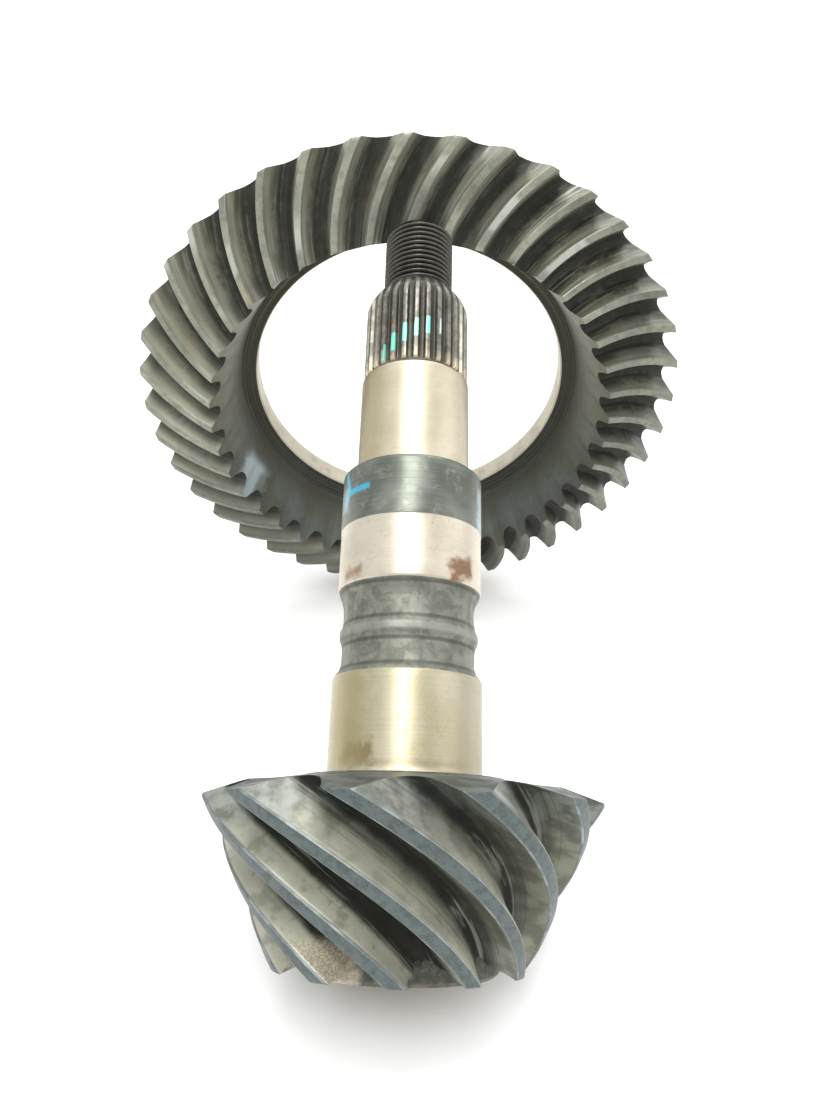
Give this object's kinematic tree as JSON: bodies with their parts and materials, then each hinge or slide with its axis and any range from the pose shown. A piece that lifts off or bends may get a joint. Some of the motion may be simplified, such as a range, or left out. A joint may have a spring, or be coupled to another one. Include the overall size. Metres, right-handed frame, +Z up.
{
  "type": "bevel gear pair",
  "caption": "Hypoid bevel ring gear with curved teeth and a one-piece drive pinion with spiral head, bearing seats, spline and threaded end, standing propped on a table.",
  "frame": {"origin": "on the table under the middle of the pair's bounding box", "axes": "+Z up, +Y from the pinion head towards the ring gear, +X to the right as seen from the pinion side"},
  "size_m": [0.2238, 0.2878, 0.2091],
  "materials": {
    "ring_steel": "phosphate-darkened forged and cut steel",
    "pinion_steel": "ground bearing seats, phosphate-darkened teeth and neck"
  },
  "bodies": {
    "ring_gear": {"ring_gear": "ring_steel"},
    "drive_pinion": {"drive_pinion": "pinion_steel"}
  },
  "joints": [
    {"name": "pinion_spin", "type": "hinge", "parent": "ring_gear", "child": "drive_pinion", "pos_m": [-0.00073, -0.08941, 0.05387], "axis": [0.0249, 0.714, 0.6997], "continuous": true}
  ]
}
